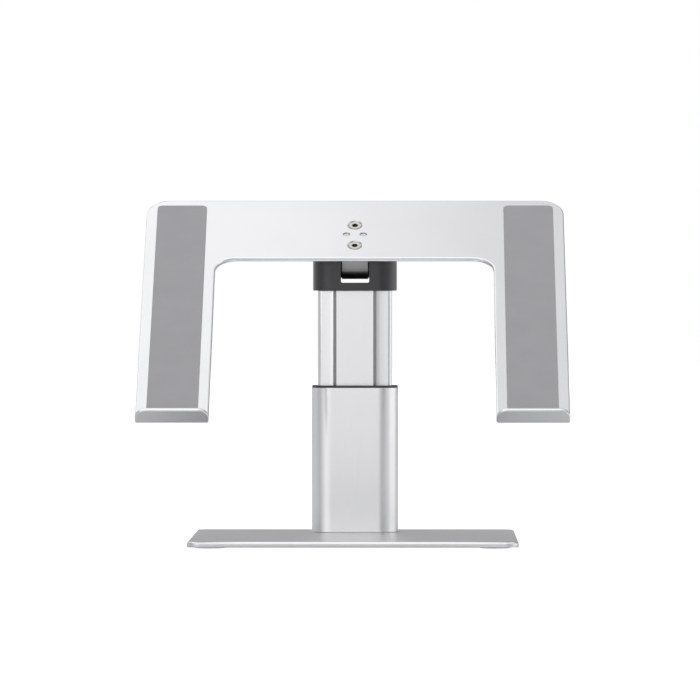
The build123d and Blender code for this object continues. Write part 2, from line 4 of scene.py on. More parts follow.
import bmesh
import bpy
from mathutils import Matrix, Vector


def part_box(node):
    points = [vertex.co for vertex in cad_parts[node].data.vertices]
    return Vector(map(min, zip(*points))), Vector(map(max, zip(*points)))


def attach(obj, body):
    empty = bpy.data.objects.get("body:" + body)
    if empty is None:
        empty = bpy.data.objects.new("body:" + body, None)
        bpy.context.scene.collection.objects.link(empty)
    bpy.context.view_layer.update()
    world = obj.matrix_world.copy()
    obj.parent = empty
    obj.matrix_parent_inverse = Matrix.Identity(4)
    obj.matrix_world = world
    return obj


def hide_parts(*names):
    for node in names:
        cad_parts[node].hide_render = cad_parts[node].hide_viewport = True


# Laptop stand, in metres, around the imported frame.

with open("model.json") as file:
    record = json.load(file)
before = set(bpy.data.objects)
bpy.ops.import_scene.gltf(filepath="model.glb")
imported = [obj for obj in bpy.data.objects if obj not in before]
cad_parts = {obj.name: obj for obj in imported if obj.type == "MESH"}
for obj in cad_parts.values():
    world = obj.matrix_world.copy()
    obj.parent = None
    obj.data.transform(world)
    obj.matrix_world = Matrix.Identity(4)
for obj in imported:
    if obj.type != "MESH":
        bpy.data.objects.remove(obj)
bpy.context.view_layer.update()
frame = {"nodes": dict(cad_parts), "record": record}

# ---------------------------------------------------------------- places taken from the frame

MOUNTS = {mount["name"]: mount for mount in frame["record"]["mounts"]}
SLOTS = {row["node"]: row["material_slot"] for row in frame["record"]["subparts"]}
BODIES = {node: body for body, nodes in frame["record"]["behaviour"]["bodies"].items() for node in nodes}

# the stand's own directions, and out of the tray's top face and up along it
RIGHT = Vector((1, 0, 0))
REARWARD = Vector((0, 1, 0))
UP = Vector((0, 0, 1))
DOWN = Vector((0, 0, -1))
TRAY_NORMAL = Vector(MOUNTS["laptop_rest_left"]["axis"]).normalized()
TRAY_RUN = TRAY_NORMAL.cross(RIGHT)

MM = 0.001

# ---------------------------------------------------------------- camera, light and floor

CAMERA_SIDE = 0.0372
CAMERA_BACK = 4.0083
CAMERA_HEIGHT = 0.1619
CAMERA_YAW = 0.0099
CAMERA_PITCH = 0.0107
CAMERA_LENS_MM = 334.2
SENSOR_WIDTH_MM = 36
CLIP_START = 0.1
CLIP_END = 60

# the walls' glow by direction: degrees from the front, positive to the right, and brightness
WALL_GLOW = (
    (-180, 0.5),
    (-150, 0.68),
    (-105, 0.78),
    (-76, 0.53),
    (-29, 1.83),
    (-4, 1.43),
    (27, 0.53),
    (50, 0.85),
    (86, 1.66),
    (112, 1.5),
    (138, 0.55),
    (180, 0.5),
)
# the brightness that the walls' ramp shows as white
WALL_TOP = 2.1
# heights, as the sine of the angle above the horizon, between which the walls fade, and what is left
FADE_START = 0.1
FADE_END = 0.4
FADE_LEFT = 0.45
# heights between which the ceiling takes over, and how far back it is bright and dim
CEILING_START = 0.45
CEILING_FULL = 0.85
CEILING_BRIGHT_Y = -0.15
CEILING_DIM_Y = 0.40
CEILING_FRONT = 1.6
CEILING_BACK = 0.85
STUDIO_TINT = (0.99, 0.99, 1.0, 1)
WHITE = (1, 1, 1, 1)

FLOOR_HALF = 8.0
FLOOR_GAP = 0.0001
FLOOR_PALE = (0.45, 0.45, 0.45, 1)
FLOOR_WASH = 0.8
# painted shadow: the floor's grey in reflections is dark close in front of the stand, plain further out
SHADE_CENTRE = (-0.012, -0.12, 0.0)
SHADE_START = 0.05
SHADE_END = 0.155
FLOOR_SHADE = 0.34
FLOOR_GREY = 0.66
# painted light: still further out it takes after the wall behind it, lighter or darker than a middle glow
LIFT_START = 0.18
LIFT_END = 0.4
LIFT_MIDDLE = 0.27
FLOOR_LIFT = 0.62

SOFTBOX_TARGET = (-0.05, 0.0, 0.15)
# name, place, size and power in watts
SOFTBOXES = (
    ("top_left_softbox", (-0.5, 0.45, 1.15), 0.9, 1.0),
    ("rear_left_softbox", (-0.95, 1.1, 0.9), 0.6, 1.2),
)

# ---------------------------------------------------------------- node helpers


def wire(tree, kind, inputs=None, **settings):
    """A node whose inputs, by name or place, are each linked or given a value."""
    node = tree.nodes.new(kind)
    for key, value in settings.items():
        setattr(node, key, value)
    for key, value in (inputs or {}).items():
        if isinstance(value, bpy.types.NodeSocket):
            tree.links.new(value, node.inputs[key])
        else:
            node.inputs[key].default_value = value
    return node


def calc(tree, operation, *values):
    """The result of a Math node."""
    return wire(tree, "ShaderNodeMath", dict(enumerate(values)), operation=operation).outputs[0]


def vector_calc(tree, operation, *values):
    """The vector that a Vector Math node gives."""
    return wire(tree, "ShaderNodeVectorMath", dict(enumerate(values)), operation=operation).outputs[0]


def vector(tree, x, y, z):
    return wire(tree, "ShaderNodeCombineXYZ", {0: x, 1: y, 2: z}).outputs[0]


def parts_of(tree, place):
    """The X, Y and Z of a vector."""
    return wire(tree, "ShaderNodeSeparateXYZ", {0: place}).outputs


def smooth_range(tree, value, start, end, low, high):
    """A smooth step of a value, from low before start to high after end."""
    ends = {"Value": value, "From Min": start, "From Max": end, "To Min": low, "To Max": high}
    return wire(tree, "ShaderNodeMapRange", ends, interpolation_type="SMOOTHSTEP").outputs[0]


def colour_ramp(tree, value, stops):
    """An eased colour ramp over a value, with stops of (position, grey) or (position, colour)."""
    node = wire(tree, "ShaderNodeValToRGB", {0: value})
    ramp = node.color_ramp
    ramp.interpolation = "EASE"
    while len(ramp.elements) < len(stops):
        ramp.elements.new(0.5)
    for element, (position, tone) in zip(ramp.elements, stops):
        element.position = position
        element.color = (tone, tone, tone, 1) if isinstance(tone, (int, float)) else (*tone, 1)
    return node.outputs[0]


# ---------------------------------------------------------------- studio


def build_camera():
    data = bpy.data.cameras.new("camera")
    data.lens = CAMERA_LENS_MM
    data.sensor_width = SENSOR_WIDTH_MM
    data.clip_start = CLIP_START
    data.clip_end = CLIP_END
    camera = bpy.data.objects.new("camera", data)
    bpy.context.scene.collection.objects.link(camera)
    camera.location = (CAMERA_SIDE, -CAMERA_BACK, CAMERA_HEIGHT)
    camera.rotation_euler = (pi / 2 - CAMERA_PITCH, 0, CAMERA_YAW)
    bpy.context.scene.camera = camera


def wall_pattern(tree, side, depth):
    """The walls' glow in a direction, as a share of WALL_TOP."""
    turn = calc(tree, "ARCTAN2", side, calc(tree, "MULTIPLY", depth, -1.0))
    around = wire(tree, "ShaderNodeMapRange", {"Value": turn, "From Min": -pi, "From Max": pi})
    stops = [(0.5 + degrees / 360, glow / WALL_TOP) for degrees, glow in WALL_GLOW]
    return colour_ramp(tree, around.outputs[0], stops)


def build_world():
    """Soft studio surroundings: walls that fade with height, and a ceiling that is brighter in front."""
    world = bpy.data.worlds.new("studio")
    bpy.context.scene.world = world
    world.use_nodes = True
    tree = world.node_tree
    tree.nodes.clear()
    direction = wire(tree, "ShaderNodeTexCoord").outputs["Generated"]
    side, depth, height = parts_of(tree, direction)

    fade = smooth_range(tree, height, FADE_START, FADE_END, WALL_TOP, WALL_TOP * FADE_LEFT)
    walls = calc(tree, "MULTIPLY", wall_pattern(tree, side, depth), fade)
    ceiling = smooth_range(tree, depth, CEILING_BRIGHT_Y, CEILING_DIM_Y, CEILING_FRONT, CEILING_BACK)
    rise = smooth_range(tree, height, CEILING_START, CEILING_FULL, 0.0, 1.0)
    both = wire(tree, "ShaderNodeMix", {"Factor": rise, "A": walls, "B": ceiling}, data_type="FLOAT")
    strength = both.outputs["Result"]
    studio = wire(tree, "ShaderNodeBackground", {"Color": STUDIO_TINT, "Strength": strength})
    backdrop = wire(tree, "ShaderNodeBackground", {"Color": WHITE, "Strength": 1.0})
    seen = wire(tree, "ShaderNodeLightPath").outputs["Is Camera Ray"]
    choose = wire(tree, "ShaderNodeMixShader", {0: seen, 1: studio.outputs[0], 2: backdrop.outputs[0]})
    wire(tree, "ShaderNodeOutputWorld", {0: choose.outputs[0]})


def soft_light(name, place, size, power):
    data = bpy.data.lights.new(name, "AREA")
    data.shape = "SQUARE"
    data.size = size
    data.energy = power
    light = bpy.data.objects.new(name, data)
    bpy.context.scene.collection.objects.link(light)
    light.location = place
    light.rotation_euler = (Vector(SOFTBOX_TARGET) - Vector(place)).to_track_quat("-Z", "Y").to_euler()


def under_base(tree, place):
    """1 under the base plate and 0 elsewhere on the floor."""
    low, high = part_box("base_plate")
    half_size = Vector(((high.x - low.x) / 2, (high.y - low.y) / 2, 1.0))
    offset = vector_calc(tree, "SUBTRACT", place, (low + high) / 2)
    share = vector_calc(tree, "ABSOLUTE", vector_calc(tree, "DIVIDE", offset, half_size))
    side, depth, _ = parts_of(tree, share)
    return calc(tree, "LESS_THAN", calc(tree, "MAXIMUM", side, depth), 1.0)


def floor_tone(tree, place):
    """The floor's grey in the metal's reflections, with a painted shadow in front of the stand and painted
    light from the walls further out.
    """
    distance = wire(tree, "ShaderNodeVectorMath", {0: place, 1: SHADE_CENTRE}, operation="DISTANCE")
    away = distance.outputs["Value"]
    shade = smooth_range(tree, away, SHADE_START, SHADE_END, FLOOR_SHADE, FLOOR_GREY)
    lift = smooth_range(tree, away, LIFT_START, LIFT_END, 0.0, FLOOR_LIFT)
    side, depth, _ = parts_of(tree, place)
    glow = calc(tree, "SUBTRACT", wall_pattern(tree, side, depth), LIFT_MIDDLE)
    return calc(tree, "MULTIPLY_ADD", glow, lift, shade)


def build_floor():
    """A pale floor that washes out to white, and looks grey in the metal's reflections, with a painted
    shadow and painted wall light there.
    From below it is clear, and light passes it under the base, so the underside can be seen."""
    mesh = bpy.data.meshes.new("floor")
    half = FLOOR_HALF
    corners = [(-half, -half, 0), (half, -half, 0), (half, half, 0), (-half, half, 0)]
    mesh.from_pydata(corners, [], [(0, 1, 2, 3)])
    floor = bpy.data.objects.new("floor", mesh)
    floor.location.z = -FLOOR_GAP
    bpy.context.scene.collection.objects.link(floor)

    material = bpy.data.materials.new("pale_floor")
    material.use_nodes = True
    tree = material.node_tree
    tree.nodes.clear()
    place = wire(tree, "ShaderNodeTexCoord").outputs["Object"]
    seen = wire(tree, "ShaderNodeLightPath").outputs["Is Camera Ray"]
    pale = wire(tree, "ShaderNodeBsdfDiffuse", {"Color": FLOOR_PALE})
    wash = wire(tree, "ShaderNodeEmission", {"Color": WHITE, "Strength": FLOOR_WASH})
    white = wire(tree, "ShaderNodeAddShader", {0: pale.outputs[0], 1: wash.outputs[0]})
    # painted shadow and painted wall light, seen only in reflections
    grey = wire(tree, "ShaderNodeBsdfDiffuse", {"Color": floor_tone(tree, place)})
    solid = wire(tree, "ShaderNodeMixShader", {0: seen, 1: grey.outputs[0], 2: white.outputs[0]})
    hidden = calc(tree, "SUBTRACT", under_base(tree, place), seen)
    from_below = wire(tree, "ShaderNodeNewGeometry").outputs["Backfacing"]
    open_share = calc(tree, "MAXIMUM", hidden, from_below)
    clear = wire(tree, "ShaderNodeBsdfTransparent")
    sided = wire(tree, "ShaderNodeMixShader", {0: open_share, 1: solid.outputs[0], 2: clear.outputs[0]})
    wire(tree, "ShaderNodeOutputMaterial", {0: sided.outputs[0]})
    mesh.materials.append(material)


def build_studio():
    build_camera()
    build_world()
    build_floor()
    for name, place, size, power in SOFTBOXES:
        soft_light(name, place, size, power)
    bpy.context.scene.view_settings.view_transform = "Standard"


# ---------------------------------------------------------------- materials

# noise mostly lies between these values, so they are spread over the whole range
NOISE_LOW = 0.3
NOISE_HIGH = 0.7
EVEN = (1, 1, 1)
# painted shade in the mast's grooves: how far they reach from its middle, how soon the painted shade fades
# out at the side, the depths between which it sets in, and how much of it there is
GROOVE_REACH = 13.5 * MM
GROOVE_SOFT_EDGE = 0.2 * MM
GROOVE_DARK_START = 0.6 * MM
GROOVE_DARK_END = 4 * MM
GROOVE_DARK_SHARE = 0.75
GROOVE_SHADE_GREY = (0.12, 0.12, 0.125, 1)


def start_material(name):
    """A new material, with its tree, its shader and the coordinates that its patterns use."""
    material = bpy.data.materials.new(name)
    material.use_nodes = True
    tree = material.node_tree
    shader = tree.nodes["Principled BSDF"]
    place = wire(tree, "ShaderNodeTexCoord").outputs["Object"]
    return material, tree, shader, place


def noise(tree, place, scale, detail=3.0, stretch=EVEN):
    """Noise with scale in features per metre, drawn out along an axis if asked."""
    spread = wire(tree, "ShaderNodeMapping", {"Vector": place, "Scale": stretch})
    source = {"Vector": spread.outputs[0], "Scale": scale, "Detail": detail}
    return wire(tree, "ShaderNodeTexNoise", source).outputs["Fac"]


def shades(grey, spread, cast):
    """Two close tones of one grey, with a colour cast."""
    return [tuple(grey * share * c for c in cast) for share in (1 - spread, 1 + spread)]


def tint_by(tree, pattern, low, high, target):
    """Shade a colour socket from low to high by a pattern."""
    colour = colour_ramp(tree, pattern, ((NOISE_LOW, low), (NOISE_HIGH, high)))
    tree.links.new(colour, target)
    return colour


def range_by(tree, pattern, low, high, target):
    """Run a number socket from low to high by a pattern."""
    ends = {"Value": pattern, "From Min": NOISE_LOW, "From Max": NOISE_HIGH, "To Min": low, "To Max": high}
    tree.links.new(wire(tree, "ShaderNodeMapRange", ends).outputs[0], target)


def bump_by(tree, shader, pattern, strength, depth):
    bump = wire(tree, "ShaderNodeBump", {"Height": pattern, "Strength": strength, "Distance": depth})
    tree.links.new(bump.outputs[0], shader.inputs["Normal"])


def paint_groove_shade(tree, shader, place, colour, front):
    """Painted shade: narrow grooves are painted dark inside, behind a front at this Y."""
    side, depth, _ = parts_of(tree, place)
    off_centre = calc(tree, "ABSOLUTE", side)
    inside = smooth_range(tree, off_centre, GROOVE_REACH, GROOVE_REACH + GROOVE_SOFT_EDGE, 1.0, 0.0)
    dark_start = front + GROOVE_DARK_START
    deep = smooth_range(tree, depth, dark_start, front + GROOVE_DARK_END, 0.0, GROOVE_DARK_SHARE)
    share = calc(tree, "MULTIPLY", inside, deep)
    mix = wire(tree, "ShaderNodeMix", {"Factor": share, "A": colour, "B": GROOVE_SHADE_GREY}, data_type="RGBA")
    tree.links.new(mix.outputs["Result"], shader.inputs["Base Color"])


def blasted_aluminium(name, grey=0.72, roughness=0.25, drawn=False, groove_shade_front=None):
    """Silver anodised aluminium: bead blasted, or drawn with faint lines along its length.
    groove_shade_front is the Y of a front whose grooves get painted shade."""
    material, tree, shader, place = start_material(name)
    shader.inputs["Metallic"].default_value = 1.0
    cloud = noise(tree, place, scale=18.0, detail=4.0, stretch=(1, 1, 0.15) if drawn else EVEN)
    tones = shades(grey, spread=0.012, cast=(0.992, 0.996, 1.006))
    colour = tint_by(tree, cloud, *tones, shader.inputs["Base Color"])
    # painted shade inside the mast's grooves
    if groove_shade_front is not None:
        paint_groove_shade(tree, shader, place, colour, groove_shade_front)
    grain = noise(tree, place, scale=5200.0, detail=2.0)
    if drawn:
        lines = noise(tree, place, scale=2600.0, detail=2.0, stretch=(1, 1, 0.004))
        both = wire(tree, "ShaderNodeMix", {"Factor": 0.5, "A": grain, "B": lines}, data_type="FLOAT")
        grain = both.outputs["Result"]
    range_by(tree, grain, roughness - 0.02, roughness + 0.03, shader.inputs["Roughness"])
    bump_by(tree, shader, grain, strength=0.12, depth=0.02 * MM)
    return material


def nickel_steel(name, cast=(1.0, 0.975, 0.92), grey=0.56):
    """Plated screw steel, by default with a warm cast, with fine patches and grain."""
    material, tree, shader, place = start_material(name)
    shader.inputs["Metallic"].default_value = 1.0
    patches = noise(tree, place, scale=420.0, detail=4.0)
    tint_by(tree, patches, *shades(grey, spread=0.05, cast=cast), shader.inputs["Base Color"])
    grain = noise(tree, place, scale=9000.0, detail=2.0)
    range_by(tree, grain, 0.24, 0.36, shader.inputs["Roughness"])
    bump_by(tree, shader, grain, strength=0.2, depth=0.01 * MM)
    return material


def textured_paint(name):
    """Dark grey powder coat: fine orange peel, satin, lighter at a grazing angle."""
    material, tree, shader, place = start_material(name)
    cloud = noise(tree, place, scale=90.0, detail=4.0)
    tones = shades(grey=0.014, spread=0.05, cast=(0.9, 0.98, 1.14))
    tint_by(tree, cloud, *tones, shader.inputs["Base Color"])
    shader.inputs["Sheen Weight"].default_value = 0.5
    shader.inputs["Sheen Roughness"].default_value = 0.35
    shader.inputs["Coat Weight"].default_value = 0.35
    shader.inputs["Coat Roughness"].default_value = 0.22
    peel = noise(tree, place, scale=1500.0)
    range_by(tree, peel, 0.33, 0.43, shader.inputs["Roughness"])
    bump_by(tree, shader, peel, strength=0.18, depth=0.06 * MM)
    return material


def moulded(name, colour, roughness, grain=1800.0, spread=0.06):
    """A moulded plastic or rubber with an eroded, matt grain."""
    material, tree, shader, place = start_material(name)
    cloud = noise(tree, place, scale=60.0, detail=4.0)
    tint_by(tree, cloud, *shades(1.0, spread, colour), shader.inputs["Base Color"])
    skin = noise(tree, place, scale=grain)
    range_by(tree, skin, roughness - 0.04, roughness + 0.06, shader.inputs["Roughness"])
    bump_by(tree, shader, skin, strength=0.2, depth=0.05 * MM)
    return material


def brake_felt(name):
    """Pressed brake lining with short fibres running through it."""
    material, tree, shader, place = start_material(name)
    fibres = noise(tree, place, scale=2400.0, detail=4.0, stretch=(1, 1, 0.12))
    tones = shades(grey=0.11, spread=0.3, cast=(1.05, 0.95, 0.85))
    tint_by(tree, fibres, *tones, shader.inputs["Base Color"])
    range_by(tree, fibres, 0.85, 0.98, shader.inputs["Roughness"])
    bump_by(tree, shader, fibres, strength=0.5, depth=0.08 * MM)
    return material


MAST_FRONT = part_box("inner_mast")[0].y

FINISHES = {
    "satin_aluminium": blasted_aluminium("satin_aluminium"),
    "dark_paint": textured_paint("dark_paint"),
    "black_plastic": moulded("black_plastic", (0.03, 0.03, 0.032), 0.42),
    "grey_silicone": moulded("grey_silicone", (0.302, 0.299, 0.312), 0.72, grain=3200.0, spread=0.02),
    "foot_rubber": moulded("foot_rubber", (0.33, 0.33, 0.335), 0.8),
    "brake_lining": brake_felt("brake_lining"),
    "steel": nickel_steel("steel"),
}
DRAWN_ALUMINIUM = blasted_aluminium("drawn_aluminium", drawn=True)
# the mast's aluminium, with painted shade in its grooves
GROOVE_SHADED_ALUMINIUM = blasted_aluminium("groove_shaded_aluminium", drawn=True, groove_shade_front=MAST_FRONT)
BASE_ALUMINIUM = blasted_aluminium("base_aluminium", grey=0.76, roughness=0.34)
CAST_ALUMINIUM = blasted_aluminium("cast_aluminium", grey=0.58, roughness=0.3)
# real black oxide on the yoke and shoe screws, and painted shade inside the other screws' sockets
BLACK_OXIDE_AND_SOCKET_SHADE_STEEL = nickel_steel("black_oxide_and_socket_shade_steel", cast=(0.95, 0.97, 1.0), grey=0.06)
# painted shade: a darker steel on a screw head's rim, for the shadow in the gap round it
RIM_SHADE_STEEL = nickel_steel("rim_shade_steel", grey=0.38)
OWN_FINISH = {
    "base_plate": BASE_ALUMINIUM,
    "outer_column": DRAWN_ALUMINIUM,
    "inner_mast": GROOVE_SHADED_ALUMINIUM,
    "mast_front_panel": DRAWN_ALUMINIUM,
    "tilt_arm": CAST_ALUMINIUM,
    "arm_dowels": CAST_ALUMINIUM,
    "yoke_screws": BLACK_OXIDE_AND_SOCKET_SHADE_STEEL,
    "shoe_screws": BLACK_OXIDE_AND_SOCKET_SHADE_STEEL,
}


def finish_of(node):
    """A node's own finish, or else that of its material slot."""
    return OWN_FINISH.get(node) or FINISHES[SLOTS[node]]


def dress_frame():
    """Give every carried-over part its finish."""
    for node, part in frame["nodes"].items():
        part.data.materials.clear()
        part.data.materials.append(finish_of(node))


# ---------------------------------------------------------------- making and placing pieces

# corners closer together than this are one corner, in grown pieces and in CAD meshes
WELD = 0.001 * MM
CAD_WELD = 0.002 * MM
NORMAL_WEIGHT = 80
# in degrees: facets this close to flat are joined, and edges above this are broken
FLAT_ANGLE = 0.3
SHARP_ANGLE = 35

# piece, node and how much its sharp edges are broken, in mm
BROKEN_EDGES = (
    ("column_tube", "outer_column", 0.16),
    ("collar_bush", "column_collar", 0.15),
    ("mast_extrusion", "inner_mast", 0.15),
    ("front_panel_strip", "mast_front_panel", 0.12),
    ("arm_casting", "tilt_arm", 0.3),
    ("yoke_block", "hinge_yoke", 0.2),
    ("sliding_shoe", "guide_shoe", 0.2),
    ("pivot_nut", "hinge_nut", 0.2),
    ("locating_dowels", "arm_dowels", 0.25),
)


def reach(node, direction):
    """How far a node reaches along a direction: its lowest and highest value."""
    spread = [vertex.co.dot(direction) for vertex in frame["nodes"][node].data.vertices]
    return min(spread), max(spread)


def write_out(shape, mesh):
    """Turn a shape's faces outward and write it into a mesh."""
    bmesh.ops.recalc_face_normals(shape, faces=shape.faces)
    shape.to_mesh(mesh)
    shape.free()


def place_piece(name, mesh, nodes):
    """Put a finished mesh into the scene for one or more CAD nodes of one body."""
    for polygon in mesh.polygons:
        polygon.use_smooth = True
    piece = bpy.data.objects.new(name, mesh)
    bpy.context.scene.collection.objects.link(piece)
    modifier = piece.modifiers.new("weighted_normals", "WEIGHTED_NORMAL")
    modifier.weight = NORMAL_WEIGHT
    shown = piece.evaluated_get(bpy.context.evaluated_depsgraph_get())
    weighted = bpy.data.meshes.new_from_object(shown)
    piece.modifiers.clear()
    piece.data = weighted
    weighted.name = name
    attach(piece, BODIES[nodes[0]])
    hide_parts(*nodes)


def broken_edges(name, node, width):
    """A node's shape with its sharp edges broken, as a file or tumbler leaves them."""
    shape = bmesh.new()
    shape.from_mesh(frame["nodes"][node].data)
    bmesh.ops.remove_doubles(shape, verts=shape.verts, dist=CAD_WELD)
    flat = radians(FLAT_ANGLE)
    bmesh.ops.dissolve_limit(shape, angle_limit=flat, verts=shape.verts, edges=shape.edges)
    sharp = [edge for edge in shape.edges if edge.calc_face_angle(0) > radians(SHARP_ANGLE)]
    bmesh.ops.bevel(
        shape, geom=sharp, offset=width, offset_type="OFFSET", segments=2, profile=0.5, affect="EDGES"
    )
    mesh = bpy.data.meshes.new(name)
    write_out(shape, mesh)
    mesh.materials.append(finish_of(node))
    place_piece(name, mesh, [node])


# ---------------------------------------------------------------- geometry node helpers

# how far copies are turned at most, in radians, and the seed of the draw
SPIN_MOST = 1.0
SPIN_SEED = 5


def new_tree(name, sizes):
    """A geometry tree with a named input for each size. Returns the tree, its inputs and its end."""
    tree = bpy.data.node_groups.new(name, "GeometryNodeTree")
    tree.interface.new_socket(name="Spots", in_out="INPUT", socket_type="NodeSocketGeometry")
    tree.interface.new_socket(name="Piece", in_out="OUTPUT", socket_type="NodeSocketGeometry")
    for label, kind in sizes:
        tree.interface.new_socket(name=label, in_out="INPUT", socket_type="NodeSocket" + kind)
    start = tree.nodes.new("NodeGroupInput")
    end = tree.nodes.new("NodeGroupOutput")
    return tree, start.outputs, end.inputs[0]


def set_out(tree, spots, shape, turn, end):
    """Repeat a finished shape on the spots and make the copies real."""
    copies = {"Points": spots, "Instance": shape, "Rotation": turn}
    repeated = wire(tree, "GeometryNodeInstanceOnPoints", copies).outputs[0]
    # each one is turned about its own axis by a different amount
    amounts = {"Seed": SPIN_SEED, "Min": 0.0, "Max": SPIN_MOST}
    about = wire(tree, "FunctionNodeRandomValue", amounts, data_type="FLOAT")
    spin = vector(tree, 0.0, 0.0, [socket for socket in about.outputs if socket.enabled][0])
    turns = {"Instances": repeated, "Rotation": spin, "Local Space": True}
    turned = wire(tree, "GeometryNodeRotateInstances", turns)
    real = wire(tree, "GeometryNodeRealizeInstances", {0: turned.outputs[0]})
    tree.links.new(real.outputs[0], end)


def grow_piece(name, tree, spots, values, nodes):
    """Run a geometry tree on a few points and keep the result as one plain mesh."""
    points = bpy.data.meshes.new(name + "_spots")
    points.from_pydata([tuple(spot) for spot in spots], [], [])
    seed = bpy.data.objects.new(name + "_spots", points)
    bpy.context.scene.collection.objects.link(seed)
    modifier = seed.modifiers.new("grow", "NODES")
    modifier.node_group = tree
    for item in tree.interface.items_tree:
        if item.in_out == "INPUT" and item.name in values:
            modifier[item.identifier] = values[item.name]
    mesh = bpy.data.meshes.new_from_object(seed.evaluated_get(bpy.context.evaluated_depsgraph_get()))
    bpy.data.objects.remove(seed)
    bpy.data.meshes.remove(points)
    shape = bmesh.new()
    shape.from_mesh(mesh)
    bmesh.ops.remove_doubles(shape, verts=shape.verts, dist=WELD)
    write_out(shape, mesh)
    mesh.name = name
    place_piece(name, mesh, nodes)


# ---------------------------------------------------------------- countersunk screws

# piece, node, which way the heads face, head and shank radius in mm
SCREWS = (
    ("tray_hex_screws", "tray_screws", TRAY_NORMAL, 4.6, 2.45),
    ("yoke_hex_screws", "yoke_screws", UP, 3.8, 1.95),
    ("shoe_hex_screws", "shoe_screws", DOWN, 2.9, 1.45),
    ("base_hex_screws", "base_screws", DOWN, 3.0, 1.45),
    ("collar_hex_screws", "collar_screws", REARWARD, 2.3, 1.2),
)
SCREW_INPUTS = (
    ("Outward", "Vector"),
    ("Head Radius", "Float"),
    ("Shank Radius", "Float"),
    ("Length", "Float"),
    ("Rim", "Float"),
    ("Pitch", "Float"),
    ("Socket Radius", "Float"),
    ("Socket Depth", "Float"),
    ("Rings", "Int"),
    ("Finish", "Material"),
    ("Socket Shade Finish", "Material"),
    ("Rim Shade Finish", "Material"),
)
# shares of the CAD head's radius
HEAD_SHARE = 0.94
RIM_SHARE = 0.16
# shares of the shank's radius
PITCH_SHARE = 0.32
RING_SHARE = 0.04
SOCKET_HALF_WIDTH = 0.62
SOCKET_DEPTH_SHARE = 0.95
TIP_SHARE = 0.68
# how much thinner than the CAD shank the thread's crests are, in mm
SHANK_GAP = 0.02
# a hexagon's corners against its flats, from its centre
HEX_CORNER = 1.155
# how deep the thread is, as a share of half its pitch
THREAD_DEPTH_SHARE = 0.9
SCREW_SIDES = 48
# shares of the socket's radius: the cone that opens its mouth, and what counts as inside it
MOUTH_HEIGHT = 0.5
MOUTH_FLOOR = 0.62
MOUTH_OPENING = 1.12
SOCKET_REACH = 1.02
# how far the mouth's cone sits down, as a share of its own height
MOUTH_SINK = 0.94
# painted shade: shares of the socket's depth between which its faces are painted dark
DARK_FROM = 0.03
DARK_TO = 1.1
# a group that reaches further than this many head radii has heads at both of its ends
APART = 2.5


